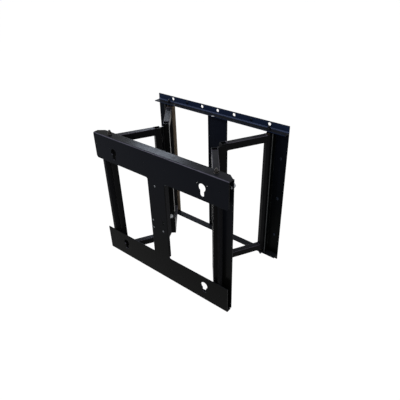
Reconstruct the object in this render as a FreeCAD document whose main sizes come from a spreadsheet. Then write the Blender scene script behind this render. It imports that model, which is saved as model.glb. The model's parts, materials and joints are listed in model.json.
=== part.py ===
import FreeCAD, Part
import os
import re
import Sketcher

# Pop-out wall mount for a flat screen: a wall frame and a front frame joined by two folding pairs of
# welded gates. +Z is up, the wall is the plane y = 0 and the screen side faces -Y. The origin is the
# centre of the wall frame's back face. The gates are drawn half opened, as they stand when pulled out.

# Driving sizes, in mm and degrees
SIZES = {
    # overall
    "frame_width": 600,
    "wall_overhang": 7,
    "wall_height": 584,
    "steel": 3,
    "low_angle": 51,
    "high_angle": 61.5,
    # gates
    "tube_side": 22,
    "tube_wall": 2,
    "tube_round": 2,
    "level_tube": 27,
    "arm_length": 199,
    "pin_stand": 14,
    "pin_offset": 12,
    # elbow hinges
    "leaf_thick": 0.9,
    "leaf_inset": 6,
    "leaf_seat": 18,
    "knuckle_radius": 4,
    "knuckle_count": 8,
    "knuckle_gap": 0.4,
    "pin_radius": 2,
    "pin_end": 1,
    # pivots
    "pivot_inset": 63,
    "wall_setback": 20,
    "front_setback": 24,
    "wall_gap": 12,
    "front_gap": 4,
    "stud_radius": 4,
    "stud_depth": 20,
    "stud_top": 14,
    "hex_radius": 7.5,
    "hex_height": 6.5,
    "flange_radius": 8,
    "flange_height": 1.6,
    "collar_radius": 7,
    "bush_height": 22,
    "face_gap": 0.2,
    "run_gap": 0.05,
    "hole_gap": 0.3,
    # wall frame
    "shelf_depth": 30,
    "top_rail_rise": 24,
    "bottom_rail_rise": 21,
    "rail_hole_margin": 10,
    "rail_hole_pitch": 76,
    "rail_hole_radius": 6.25,
    "pivot_side": 21,
    "wall_flange": 24,
    "strip_width": 33,
    "channel_width": 90,
    "channel_flange": 6,
    # screws
    "screw_radius": 2.8,
    "head_radius": 6,
    "head_height": 2.6,
    "head_round": 1.6,
    "upright_screw_inset": 23,
    "upright_screw_pitch": 169,
    "upright_screw_middle": -6,
    # front frame
    "top_plate_margin": 13,
    "bottom_plate_margin": 24,
    "lip_depth": 38,
    "lip_cut_along": 22,
    "lip_cut_across": 17,
    "plate_cut": 6,
    "fold_round": 5,
    "inside_round": 7,
    "web_width": 76,
    "web_flange": 21,
    "web_flange_low": 10,
    "web_flange_top": 153,
    "web_flange_step": -50,
    "leg_depth": 24,
    "key_pitch": 400,
    "key_middle": 6,
    "key_radius": 14,
    "key_slot": 8,
    "key_height": 46,
    "small_hole": 2.2,
    "small_hole_rise": 11,
    "small_hole_reach": 20,
    "end_hole_inset": 33,
    "web_hole_reach": 46,
    # side bolt
    "side_inset": 10,
    "side_drop": 32,
    "side_end": 13,
    # latch
    "latch_x": 22,
    "pawl_thick": 4,
    "pawl_y": 14,
    "pawl_z": 4,
    "pawl_tail": 1,
    "pawl_tail_low": -7,
    "pawl_tail_high": -1,
    "pawl_heel": 9,
    "pawl_heel_low": 3,
    "pawl_back": 11,
    "pawl_arm": 20,
    "pawl_nose": 50,
    "hook_reach": 47,
    "hook_face": 45.3,
    "hook_low": -5,
    "pawl_belly": -3,
    "slot_width": 6,
    "slot_low": -13,
    "slot_high": 5,
    "plate_thick": 2,
    "latch_plate_low": -48,
    "latch_plate_high": 146,
    "ear_near": 3,
    "ear_far": 8,
    "ear_thick": 2,
    "ear_depth": 20,
    "ear_half": 9,
    "latch_pin_radius": 2,
    "bar_radius": 2.5,
    "bar_reach": 39.8,
    "bar_z": -8.5,
    "cheek_gap": 16,
    "cheek_thick": 2,
    "striker_half": 13,
    "coil_wire": 0.6,
    "coil_turns": 3,
    "coil_pitch": 1.4,
    "web_head_radius": 3.6,
    "web_head_height": 1.8,
    "web_screw_radius": 1.9,
    "web_screw_middle": -5,
    "web_screw_left": -28,
    "web_screw_right": 19,
    "web_screw_high": 138,
    "web_screw_upper": -8,
    "web_screw_lower": -40,
}

# Named places worked out from the driving sizes
SIDE = "frame_width / 2"
WALL_SIDE = "(frame_width / 2 + wall_overhang)"
PIVOT = "(frame_width / 2 - pivot_inset)"
UPRIGHT = "(pivot_inset - pivot_side)"
SHELF_UNDER = "(wall_height / 2 - top_rail_rise - steel)"
FLOOR_TOP = "(bottom_rail_rise + steel - wall_height / 2)"
WALL_INSIDE = f"({SHELF_UNDER} - {FLOOR_TOP})"
RAIL_HOLES = "(wall_height / 2 - rail_hole_margin)"
GATE_TOP = f"({SHELF_UNDER} - wall_gap)"
GATE_BOTTOM = f"({FLOOR_TOP} + wall_gap)"
GATE_HEIGHT = f"({GATE_TOP} - {GATE_BOTTOM})"
LIP_UNDER = f"({GATE_TOP} + front_gap)"
SILL_TOP = f"({GATE_BOTTOM} - front_gap)"
FRONT_INSIDE = f"({LIP_UNDER} - {SILL_TOP})"
TOP_EDGE = f"({LIP_UNDER} + steel)"
BOTTOM_EDGE = f"({SILL_TOP} - steel)"
TUBE_END = "(arm_length - pin_stand)"
LOW_REACH = "(arm_length * cos(low_angle) - pin_offset * sin(low_angle))"
LOW_DEPTH = "(arm_length * sin(low_angle) + pin_offset * cos(low_angle))"
HIGH_REACH = "(arm_length * cos(high_angle) - pin_offset * sin(high_angle))"
HIGH_DEPTH = "(arm_length * sin(high_angle) + pin_offset * cos(high_angle))"
FRONT_X = f"({LOW_REACH} - {HIGH_REACH})"
FRONT_Y = f"(-(wall_setback + front_setback + {LOW_DEPTH} + {HIGH_DEPTH}))"
FOLDED_Y = "(-(wall_setback + front_setback + 2 * pin_offset))"

doc = FreeCAD.newDocument("Mount")
sheet = doc.addObject("Spreadsheet::Sheet", "Sizes")
for row, (alias, number) in enumerate(SIZES.items(), 1):
    sheet.set(f"A{row}", alias)
    sheet.set(f"B{row}", str(number))
    sheet.setAlias(f"B{row}", alias)
doc.recompute()
pieces = []


def bind(formula):
    """The formula with every size read from the sheet."""
    return re.sub(r"\b(?!sin\b|cos\b)([a-z]\w+)", r"Sizes.\1", formula)


def value(formula):
    """The number that a formula gives."""
    return float(sheet.evalExpression(bind(formula)))


def place(item, x="0", y="0", z="0", angle="0", axis=(0, 0, 1)):
    """Stand an object at a place worked out from the sheet, turned about one axis."""
    item.Placement = FreeCAD.Placement(
        FreeCAD.Vector(value(x), value(y), value(z)), FreeCAD.Rotation(FreeCAD.Vector(*axis), value(angle)))
    for letter, formula in zip("xyz", (x, y, z)):
        item.setExpression(f"Placement.Base.{letter}", bind(formula))
    if angle != "0":
        item.setExpression("Placement.Rotation.Angle", bind(angle))


def keep(item, label, spot=None):
    """Name a finished piece and stand it at its place."""
    item.Label = label
    if spot:
        place(item, *spot)
    pieces.append(item)
    return item


def body_of(label, spot=None):
    return keep(doc.addObject("PartDesign::Body", label), label, spot)


def drawing_on(body, label, role, offset="0"):
    """An empty drawing parallel to one plane of the body, moved along that plane's normal."""
    drawing = body.newObject("Sketcher::SketchObject", label)
    plane = next(item for item in body.Origin.OriginFeatures if item.Role == role)
    drawing.AttachmentSupport = (plane, [""])
    drawing.MapMode = "FlatFace"
    drawing.AttachmentOffset = FreeCAD.Placement(FreeCAD.Vector(0, 0, value(offset)), FreeCAD.Rotation())
    drawing.setExpression("AttachmentOffset.Base.z", bind(offset))
    return drawing


def fix_size(drawing, constraint, formula):
    number = drawing.addConstraint(constraint)
    drawing.setExpression(f"Constraints[{number}]", bind(formula))


def fix_point(drawing, item, point, x, y):
    for kind, formula in (("DistanceX", x), ("DistanceY", y)):
        fix_size(drawing, Sketcher.Constraint(kind, -1, 1, item, point, value(formula)), formula)


def outline(drawing, corners):
    """A closed outline of straight lines; each corner is a pair of formulas."""
    spots = [FreeCAD.Vector(value(x), value(y), 0) for x, y in corners]
    first = drawing.GeometryCount
    for start, end in zip(spots, spots[1:] + spots[:1]):
        drawing.addGeometry(Part.LineSegment(start, end), False)
    for index, (x, y) in enumerate(corners):
        before = first + (index - 1) % len(corners)
        drawing.addConstraint(Sketcher.Constraint("Coincident", before, 2, first + index, 1))
        fix_point(drawing, first + index, 1, x, y)


def box_outline(drawing, left, right, low, high):
    outline(drawing, [(left, low), (right, low), (right, high), (left, high)])


def circle(drawing, x, y, radius):
    centre = FreeCAD.Vector(value(x), value(y), 0)
    item = drawing.addGeometry(Part.Circle(centre, FreeCAD.Vector(0, 0, 1), value(radius)), False)
    fix_point(drawing, item, 3, x, y)
    fix_size(drawing, Sketcher.Constraint("Radius", item, value(radius)), radius)


def pad(body, drawing, length, both_ways=False):
    feature = body.newObject("PartDesign::Pad", drawing.Name + "_pad")
    feature.Profile = drawing
    feature.SideType = "Symmetric" if both_ways else "One side"
    feature.setExpression("Length", bind(length))
    body.Tip = feature
    return feature


def cut(body, drawing, length="4 * steel"):
    """A cut that goes the same way to both sides of its drawing."""
    feature = body.newObject("PartDesign::Pocket", drawing.Name + "_cut")
    feature.Profile = drawing
    feature.SideType = "Symmetric"
    feature.setExpression("Length", bind(length))
    body.Tip = feature
    return feature


def round_off(body, label, radius, wanted):
    """Round the edges that pass the given test."""
    doc.recompute()
    tip = body.Tip
    names = [f"Edge{number}" for number, edge in enumerate(tip.Shape.Edges, 1) if wanted(edge)]
    feature = body.newObject("PartDesign::Fillet", label)
    feature.Base = (tip, names)
    feature.setExpression("Radius", bind(radius))
    body.Tip = feature


def straight_at(x=None, y=None, z=None):
    """A test for an edge whose whole length lies at the given coordinates."""
    wanted = [(axis, value(formula)) for axis, formula in zip("xyz", (x, y, z)) if formula is not None]
    return lambda edge: len(edge.Vertexes) == 2 and all(
        abs(getattr(corner.Point, axis) - number) < value("run_gap")
        for corner in edge.Vertexes for axis, number in wanted)


# Wall frame; each rail has five open holes and two that take a screw, counted in steps from the middle
OPEN_HOLES = (-3, -1, 0, 1, 3)
SCREW_HOLES = (-2, 2)


def wall_rail(label, shelf_under, shelf_inner, leg_end, hole_height):
    """An angle across the wall frame: one leg flat on the wall, the other a shelf for the pivots."""
    body = body_of(label)
    section = drawing_on(body, label + "_section", "YZ_Plane")
    outline(section, [("0", shelf_under), ("0", leg_end), ("-steel", leg_end), ("-steel", shelf_inner),
                      ("-shelf_depth", shelf_inner), ("-shelf_depth", shelf_under)])
    pad(body, section, f"2 * {WALL_SIDE}", both_ways=True)
    holes = drawing_on(body, label + "_holes", "XZ_Plane")
    for step in OPEN_HOLES:
        circle(holes, f"{step} * rail_hole_pitch", hole_height, "rail_hole_radius")
    for step in SCREW_HOLES:
        circle(holes, f"{step} * rail_hole_pitch", hole_height, "screw_radius + hole_gap")
    cut(body, holes)
    pivots = drawing_on(body, label + "_pivots", "XY_Plane", shelf_under)
    for side in ("-", ""):
        circle(pivots, f"{side}{PIVOT}", "-wall_setback", "stud_radius + hole_gap")
    cut(body, pivots)


SHELF_TOP = f"({SHELF_UNDER} + steel)"
FLOOR_UNDER = f"({FLOOR_TOP} - steel)"
wall_rail("wall_top_rail", SHELF_UNDER, SHELF_TOP, "wall_height / 2", RAIL_HOLES)
wall_rail("wall_bottom_rail", FLOOR_TOP, FLOOR_UNDER, "-wall_height / 2", f"-{RAIL_HOLES}")

for label, sign in (("left", "-1"), ("right", "1")):
    body = body_of(f"wall_upright_{label}")
    section = drawing_on(body, f"wall_upright_{label}_section", "XY_Plane", FLOOR_TOP)
    inner = f"{sign} * ({SIDE} - {UPRIGHT} - steel)"
    outline(section, [(inner, "0"), (f"{sign} * {WALL_SIDE}", "0"), (f"{sign} * {WALL_SIDE}", "-steel"),
                      (f"{sign} * ({SIDE} - {UPRIGHT})", "-steel"),
                      (f"{sign} * ({SIDE} - {UPRIGHT})", "-wall_flange"), (inner, "-wall_flange")])
    pad(body, section, WALL_INSIDE)
    holes = drawing_on(body, f"wall_upright_{label}_holes", "XZ_Plane")
    for step in (-1, 0, 1):
        circle(holes, f"{sign} * ({WALL_SIDE} - upright_screw_inset)",
               f"upright_screw_middle + {step} * upright_screw_pitch", "screw_radius + hole_gap")
    cut(body, holes)
    body = body_of(f"wall_backing_strip_{label}")
    section = drawing_on(body, f"wall_backing_strip_{label}_section", "XY_Plane", FLOOR_TOP)
    box_outline(section, f"{sign} * ({SIDE} - {UPRIGHT} - steel - strip_width)", inner, "-steel", "0")
    pad(body, section, WALL_INSIDE)

body = body_of("wall_centre_channel")
section = drawing_on(body, "wall_centre_channel_section", "XY_Plane", FLOOR_TOP)
HALF_CHANNEL = "channel_width / 2"
outline(section, [(f"-{HALF_CHANNEL}", "0"), (f"-{HALF_CHANNEL}", "-channel_flange"),
                  (f"steel - {HALF_CHANNEL}", "-channel_flange"), (f"steel - {HALF_CHANNEL}", "-steel"),
                  (f"{HALF_CHANNEL} - steel", "-steel"), (f"{HALF_CHANNEL} - steel", "-channel_flange"),
                  (HALF_CHANNEL, "-channel_flange"), (HALF_CHANNEL, "0")])
pad(body, section, WALL_INSIDE)


# Gates, each drawn with its hinge axis on the Z axis and its elbow towards +X
def tube(label, spot, role, across, start, length):
    """A tube with rounded outer corners: square where it stands upright, taller than wide where it lies."""
    body = body_of(label, spot)
    section = drawing_on(body, label + "_section", role, start)
    upright = role == "XY_Plane"
    for inset in ("0", "tube_wall"):
        reach = f"(tube_side / 2 - {inset})"
        rise = f"(level_tube / 2 - {inset})"
        if upright:
            box_outline(section, f"{across} - {reach}", f"{across} + {reach}", f"-{reach}", reach)
        else:
            box_outline(section, f"-{reach}", reach, f"{across} - {rise}", f"{across} + {rise}")
    pad(body, section, length)
    middle, gap, half = value(across), value("run_gap"), value("tube_side / 2")
    half_along = half if upright else value("level_tube / 2")

    def outer(edge):
        point = edge.CenterOfMass
        along = point.x if upright else point.z
        return abs(point.y) > half - gap and abs(along - middle) > half_along - gap

    round_off(body, label + "_corners", "tube_round", outer)


def elbow_leaf(label, spot, side, phase):
    """One leaf of the long hinge at the elbow: a strip on the tube's inner side, and every second knuckle."""
    body = body_of(label, spot)
    start = f"({GATE_BOTTOM} + leaf_inset)"
    length = f"({GATE_HEIGHT} - 2 * leaf_inset)"
    pitch = f"({length} / (2 * knuckle_count))"
    begin = f"({start} + {phase} * {pitch} + knuckle_gap / 2)"
    face, back = f"{side} * tube_side / 2", f"{side} * (tube_side / 2 + leaf_thick)"
    reach = "(arm_length - knuckle_radius - knuckle_gap)"
    strip = drawing_on(body, label + "_strip", "XY_Plane", start)
    box_outline(strip, f"{TUBE_END} - leaf_seat", reach, face, back)
    pad(body, strip, length)
    tab = drawing_on(body, label + "_tab", "XY_Plane", begin)
    box_outline(tab, reach, "arm_length - (pin_radius + knuckle_radius) / 2", face, back)
    tabs = pad(body, tab, f"{pitch} - knuckle_gap")
    ring = drawing_on(body, label + "_ring", "XY_Plane", begin)
    circle(ring, "arm_length", f"{side} * pin_offset", "knuckle_radius")
    circle(ring, "arm_length", f"{side} * pin_offset", "pin_radius + run_gap")
    rings = pad(body, ring, f"{pitch} - knuckle_gap")
    doc.recompute()
    row = body.newObject("PartDesign::LinearPattern", label + "_knuckles")
    row.Originals = [tabs, rings]
    row.Direction = (ring, ["N_Axis"])
    row.Mode = "Spacing"
    row.setExpression("Offset", bind(f"2 * {pitch}"))
    row.setExpression("Occurrences", bind("knuckle_count"))
    body.Tip = row


GATES = (
    ("rear_left", f"(-{PIVOT})", "-wall_setback", "-low_angle", "-1", "0"),
    ("front_left", f"({FRONT_X} - {PIVOT})", f"({FRONT_Y} + front_setback)", "high_angle", "1", "1"),
    ("rear_right", PIVOT, "-wall_setback", "180 + high_angle", "1", "0"),
    ("front_right", f"({FRONT_X} + {PIVOT})", f"({FRONT_Y} + front_setback)", "180 - low_angle", "-1", "1"),
)
RAIL_LENGTH = f"({TUBE_END} - tube_side - tube_side / 2)"
for name, x, y, angle, side, phase in GATES:
    spot = (x, y, "0", angle)
    tube(f"{name}_hinge_tube", spot, "XY_Plane", "0 * tube_side", GATE_BOTTOM, GATE_HEIGHT)
    tube(f"{name}_elbow_tube", spot, "XY_Plane", f"({TUBE_END} - tube_side / 2)", GATE_BOTTOM, GATE_HEIGHT)
    tube(f"{name}_top_tube", spot, "YZ_Plane", f"({GATE_TOP} - level_tube / 2)", "tube_side / 2", RAIL_LENGTH)
    tube(f"{name}_bottom_tube", spot, "YZ_Plane", f"({GATE_BOTTOM} + level_tube / 2)", "tube_side / 2",
         RAIL_LENGTH)
    elbow_leaf(f"{name}_elbow_leaf", spot, side, phase)
    body = body_of(f"{name}_pivot_bushes", spot)
    BUSH_HALF = "(tube_side / 2 - tube_wall)"
    for end, start in (("low", GATE_BOTTOM), ("high", f"{GATE_TOP} - bush_height")):
        drawing = drawing_on(body, f"{name}_bush_{end}", "XY_Plane", start)
        box_outline(drawing, f"-{BUSH_HALF}", BUSH_HALF, f"-{BUSH_HALF}", BUSH_HALF)
        circle(drawing, "0 * steel", "0 * steel", "stud_radius + run_gap")
        pad(body, drawing, "bush_height")


# Fasteners are stacks of round and six-sided pieces along their own axis
def stack(label, layers, x="0", y="0", z="0", turn="0", axis=(1, 0, 0), bore=None):
    """One turned part: layers of (shape, radius, start, height) fused, with an optional bore."""
    solids = []
    for number, (shape, radius, start, height) in enumerate(layers):
        item = doc.addObject("Part::Prism" if shape == "hex" else "Part::Cylinder", f"{label}_{number}")
        item.setExpression("Circumradius" if shape == "hex" else "Radius", bind(radius))
        item.setExpression("Height", bind(height))
        place(item, z=start)
        solids.append(item)
    whole = solids[0]
    if len(solids) > 1:
        whole = doc.addObject("Part::MultiFuse", label + "_body")
        whole.Shapes = solids
    if bore:
        drill = doc.addObject("Part::Cylinder", label + "_drill")
        drill.setExpression("Radius", bind(bore))
        drill.setExpression("Height", bind(GATE_HEIGHT))
        place(drill, z=f"-{GATE_HEIGHT} / 2")
        bored = doc.addObject("Part::Cut", label + "_bored")
        bored.Base, bored.Tool = whole, drill
        whole = bored
    holder = doc.addObject("Part::Compound", label)
    holder.Links = [whole]
    place(holder, x, y, z, turn, axis)
    return holder


def group(label, members, spot=None):
    holder = doc.addObject("Part::Compound", label)
    holder.Links = members
    return keep(holder, label, spot)


def on_pivots(label, layers, y, top, bottom, bore=None, spot=None):
    """Four equal pieces on the two upper and two lower pivots; the lower ones stand upside down."""
    members = []
    for side in ("-", ""):
        for end, z, turn in (("top", top, "0"), ("low", bottom, "180")):
            members.append(stack(f"{label}_{side and 'left' or 'right'}_{end}", layers,
                                 f"{side}{PIVOT}", y, z, turn, bore=bore))
    return group(label, members, spot)


FRONT = (FRONT_X, FRONT_Y)
SPACER = "(wall_gap - hex_height - face_gap)"
WASHER = "((front_gap - face_gap) / 2)"
NUT = [("round", "flange_radius", "0", "flange_height"),
       ("hex", "hex_radius", "0", "flange_height + hex_height")]
NUT_BORE = "stud_radius + hole_gap / 2"
on_pivots("wall_pivot_studs", [
    ("round", "stud_radius", "-(stud_depth + steel + wall_gap)", "stud_depth + steel + wall_gap + stud_top"),
    ("hex", "hex_radius", "-(steel + hex_height)", "hex_height")], "-wall_setback", SHELF_TOP, FLOOR_UNDER)
on_pivots("wall_pivot_nuts", NUT, "-wall_setback", SHELF_TOP, FLOOR_UNDER, NUT_BORE)
on_pivots("wall_pivot_spacers", [("round", "flange_radius", f"-{SPACER}", SPACER)], "-wall_setback",
          f"{SHELF_UNDER} - hex_height", f"{FLOOR_TOP} + hex_height", NUT_BORE)
on_pivots("front_pivot_studs", [
    ("round", "stud_radius", "-(stud_depth + steel + front_gap)",
     "stud_depth + steel + front_gap + stud_top"),
    ("round", "collar_radius", f"-(steel + {WASHER})", WASHER)], "front_setback", TOP_EDGE, BOTTOM_EDGE,
    spot=FRONT)
on_pivots("front_pivot_nuts", NUT, "front_setback", TOP_EDGE, BOTTOM_EDGE, NUT_BORE, FRONT)
on_pivots("front_pivot_washers", [("round", "flange_radius", f"-{WASHER}", WASHER)], "front_setback",
          f"{LIP_UNDER} - {WASHER}", f"{SILL_TOP} + {WASHER}", NUT_BORE, FRONT)

SCREW = [("round", "head_radius", "steel", "head_height"), ("round", "screw_radius", "0", "steel")]
group("wall_rail_screws", [
    stack(f"rail_screw_{side and 'left' or 'right'}_{end or 'top'}", SCREW, f"{side}2 * rail_hole_pitch", "0",
          f"{end}{RAIL_HOLES}", "90") for side in ("-", "") for end in ("", "-")])
group("wall_upright_screws", [
    stack(f"upright_screw_{side and 'left' or 'right'}_{step + 1}", SCREW,
          f"{side}({WALL_SIDE} - upright_screw_inset)", "0",
          f"upright_screw_middle + {step} * upright_screw_pitch", "90")
    for side in ("-", "") for step in (-1, 0, 1)])

for label, name, sign in (("left", "rear_left", "-1"), ("right", "rear_right", "1")):
    x, y, angle = next((gate[1], gate[2], gate[3]) for gate in GATES if gate[0] == name)
    pin = stack(f"elbow_pin_{label}_rod",
                [("round", "pin_radius", "leaf_inset - pin_end",
                  f"{GATE_HEIGHT} - 2 * (leaf_inset - pin_end)")],
                "arm_length", f"{sign} * pin_offset", GATE_BOTTOM)
    group(f"elbow_pin_{label}", [pin], (x, y, "0", angle))

# Front frame, drawn with its front face in the plane y = 0 and placed as a whole
HALF_WEB = "web_width / 2"
KEY_TOP = "(key_middle + key_pitch / 2)"
KEY_LOW = "(key_middle - key_pitch / 2)"
KEY_END = "(key_height - key_radius - key_slot)"
TOP_LOW = f"({KEY_TOP} - {KEY_END} - key_slot - top_plate_margin)"
SILL_HIGH = f"({KEY_LOW} + key_radius + bottom_plate_margin)"
plate = body_of("front_plate", FRONT)
face = drawing_on(plate, "front_face", "XZ_Plane", "-steel")
outline(face, [
    (f"-{SIDE}", TOP_EDGE), (SIDE, TOP_EDGE), (SIDE, f"{TOP_LOW} + plate_cut"),
    (f"{SIDE} - plate_cut", TOP_LOW), (HALF_WEB, TOP_LOW), (HALF_WEB, SILL_HIGH), (SIDE, SILL_HIGH),
    (SIDE, BOTTOM_EDGE), (f"-{SIDE}", BOTTOM_EDGE), (f"-{SIDE}", SILL_HIGH), (f"-{HALF_WEB}", SILL_HIGH),
    (f"-{HALF_WEB}", TOP_LOW), (f"plate_cut - {SIDE}", TOP_LOW), (f"-{SIDE}", f"{TOP_LOW} + plate_cut")])
pad(plate, face, "steel")
for x in (HALF_WEB, f"-{HALF_WEB}"):
    for end, z in (("top", TOP_LOW), ("low", SILL_HIGH)):
        label = f"web_corner_{'left' if x.startswith('-') else 'right'}_{end}"
        round_off(plate, label, "inside_round", straight_at(x=x, z=z))
for label, low in (("lip", LIP_UNDER), ("sill", BOTTOM_EDGE)):
    drawing = drawing_on(plate, label, "XY_Plane", low)
    outline(drawing, [
        (f"-{SIDE}", "0 * steel"), (SIDE, "0 * steel"), (SIDE, "lip_depth - lip_cut_across"),
        (f"{SIDE} - lip_cut_along", "lip_depth"), (f"lip_cut_along - {SIDE}", "lip_depth"),
        (f"-{SIDE}", "lip_depth - lip_cut_across")])
    pad(plate, drawing, "steel")
for label, start in (("left", f"-{HALF_WEB}"), ("right", f"{HALF_WEB} - steel")):
    drawing = drawing_on(plate, f"web_flange_{label}", "YZ_Plane", start)
    outline(drawing, [
        ("steel / 2", "web_flange_top"), ("web_flange", "web_flange_top"), ("web_flange", "web_flange_step"),
        ("web_flange_low", "web_flange_step - (web_flange - web_flange_low)"),
        ("web_flange_low", f"{SILL_HIGH} + inside_round"), ("steel / 2", f"{SILL_HIGH} + inside_round")])
    pad(plate, drawing, "steel")
for z in (TOP_EDGE, BOTTOM_EDGE):
    round_off(plate, "fold_top" if z == TOP_EDGE else "fold_low", "fold_round", straight_at(y="0", z=z))

KEYS = [(f"{side}key_pitch / 2", height) for side in ("-", "") for height in (KEY_LOW, KEY_TOP)]
rounds = drawing_on(plate, "keyholes", "XZ_Plane")
slots = drawing_on(plate, "keyhole_slots", "XZ_Plane")
ends = drawing_on(plate, "keyhole_ends", "XZ_Plane")
for x, z in KEYS:
    circle(rounds, x, z, "key_radius")
    box_outline(slots, f"{x} - key_slot", f"{x} + key_slot", f"{z} - {KEY_END}", z)
    circle(ends, x, f"{z} - {KEY_END}", "key_slot")
small = drawing_on(plate, "small_holes", "XZ_Plane")
for up in "-+":
    for side in ("-1", "1"):
        z = f"key_middle {up} (key_pitch / 2 + small_hole_rise)"
        circle(small, f"{side} * ({SIDE} - end_hole_inset)", z, "small_hole")
        circle(small, f"{side} * web_hole_reach", z, "small_hole")
        if up == "+":
            for way in "-+":
                circle(small, f"{side} * key_pitch / 2 {way} small_hole_reach", z, "small_hole")
release = drawing_on(plate, "release_slot", "XZ_Plane")
box_outline(release, "latch_x - slot_width / 2", "latch_x + slot_width / 2", "slot_low", "slot_high")
WEB_SCREWS = (("web_screw_middle", "web_screw_high"), ("web_screw_left", "web_screw_upper"),
              ("web_screw_left", "web_screw_lower"), ("web_screw_right", "web_screw_lower"))
taps = drawing_on(plate, "web_screw_holes", "XZ_Plane")
for x, z in WEB_SCREWS:
    circle(taps, x, z, "web_screw_radius + hole_gap")
for drawing in (rounds, slots, ends, small, release, taps):
    cut(plate, drawing)
for label, low in (("lip_pivots", LIP_UNDER), ("sill_pivots", SILL_TOP)):
    drawing = drawing_on(plate, label, "XY_Plane", low)
    for side in ("-", ""):
        circle(drawing, f"{side}{PIVOT}", "front_setback", "stud_radius + hole_gap")
    cut(plate, drawing)

LEG = f"({SIDE} - {UPRIGHT})"
for label, sign in (("left", "-1"), ("right", "1")):
    body = body_of(f"front_upright_{label}", FRONT)
    section = drawing_on(body, f"front_upright_{label}_section", "XY_Plane", SILL_TOP)
    outline(section, [
        (f"{sign} * {LEG}", "steel"), (f"{sign} * ({LEG} + steel)", "steel"),
        (f"{sign} * ({LEG} + steel)", "leg_depth"), (f"{sign} * {SIDE}", "leg_depth"),
        (f"{sign} * {SIDE}", "leg_depth + steel"), (f"{sign} * {LEG}", "leg_depth + steel")])
    pad(body, section, FRONT_INSIDE)
    if label == "right":
        hole = drawing_on(body, "side_bolt_hole", "XZ_Plane", "-(leg_depth + steel)")
        circle(hole, f"{SIDE} - side_inset", f"{TOP_EDGE} - side_drop", "stud_radius - hole_gap")
        cut(body, hole)
bolt = stack("side_bolt_rod", [
    ("hex", "collar_radius", "0", "hex_height - flange_height"),
    ("hex", "hex_radius", "-(steel + side_end)", "side_end"),
    ("round", "stud_radius - 2 * hole_gap", "-(2 * steel + side_end)", "2 * steel + side_end")],
    f"{SIDE} - side_inset", "leg_depth", f"{TOP_EDGE} - side_drop", "90")
group("side_bolt", [bolt], FRONT)
group("web_screws", [
    stack(f"web_screw_{number}", [
        ("round", "web_head_radius", "0", "web_head_height"),
        ("round", "web_screw_radius", "-(steel + plate_thick)", "steel + plate_thick")], x, "0", z, "90")
    for number, (x, z) in enumerate(WEB_SCREWS)], FRONT)

# Latch
bracket = body_of("latch_bracket", FRONT)
drawing = drawing_on(bracket, "latch_plate", "XZ_Plane", "-(steel + plate_thick)")
box_outline(drawing, f"steel + hole_gap - {HALF_WEB}", "latch_x + ear_near + ear_thick", "latch_plate_low",
            "latch_plate_high")
pad(bracket, drawing, "plate_thick")
for label, x in (("far", "latch_x - ear_far - ear_thick"), ("near", "latch_x + ear_near")):
    ear = drawing_on(bracket, f"latch_ear_{label}", "YZ_Plane", x)
    box_outline(ear, "steel", "ear_depth", "pawl_z - ear_half", "pawl_z + ear_half")
    pad(bracket, ear, "ear_thick")
slot = drawing_on(bracket, "latch_plate_slot", "XZ_Plane", "-(steel + plate_thick)")
box_outline(slot, "latch_x - slot_width / 2", "latch_x + slot_width / 2", "slot_low", "slot_high")
cut(bracket, slot)
taps = drawing_on(bracket, "latch_plate_holes", "XZ_Plane", "-(steel + plate_thick)")
for x, z in WEB_SCREWS:
    circle(taps, x, z, "web_screw_radius + hole_gap / 2")
cut(bracket, taps)
bore = drawing_on(bracket, "latch_ear_holes", "YZ_Plane", "latch_x")
circle(bore, "pawl_y", "pawl_z", "latch_pin_radius + hole_gap / 2")
cut(bracket, bore, "2 * (ear_far + 2 * ear_thick)")

pin = stack("latch_pin_rod", [
    ("round", "latch_pin_radius", "-(ear_far + 2 * ear_thick)", "ear_far + ear_near + 4 * ear_thick"),
    ("round", "latch_pin_radius + bar_radius / 2", "ear_near + ear_thick", "ear_thick / 2")],
    "latch_x", "pawl_y", "pawl_z", "90", (0, 1, 0))
group("latch_pin", [pin], FRONT)

pawl = body_of("latch_pawl", FRONT)
side_view = drawing_on(pawl, "pawl_outline", "YZ_Plane", "latch_x - pawl_thick / 2")
outline(side_view, [
    ("pawl_tail", "pawl_tail_low"), ("pawl_tail", "pawl_tail_high"), ("pawl_heel", "pawl_heel_low"),
    ("pawl_heel + latch_pin_radius / 2", "pawl_back - latch_pin_radius"), ("pawl_arm", "pawl_back"),
    ("pawl_nose - 3 * latch_pin_radius", "pawl_back"), ("pawl_nose", "pawl_z"), ("hook_reach", "hook_low"),
    ("hook_face", "hook_low"), ("hook_face", "0 * steel"), ("pawl_arm", "0 * steel"),
    ("pawl_arm + hook_low", "pawl_belly")])
pad(pawl, side_view, "pawl_thick")
eye = drawing_on(pawl, "pawl_eye", "YZ_Plane", "latch_x")
circle(eye, "pawl_y", "pawl_z", "latch_pin_radius + run_gap")
cut(pawl, eye)

spring = body_of("latch_spring", FRONT)
wire = drawing_on(spring, "spring_wire", "XZ_Plane")
circle(wire, "latch_pin_radius + hole_gap + coil_wire", "0 * steel", "coil_wire")
coil = spring.newObject("PartDesign::AdditiveHelix", "spring_coil")
coil.Profile = wire
coil.ReferenceAxis = (wire, ["V_Axis"])
coil.Mode = "pitch-turns-angle"
coil.setExpression("Pitch", bind("coil_pitch"))
coil.setExpression("Turns", bind("coil_turns"))
spring.Tip = coil
place(spring, f"{FRONT_X} + latch_x - ear_far + coil_wire + face_gap / 2", f"{FRONT_Y} + pawl_y",
      "pawl_z", "90", (0, 1, 0))

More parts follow.
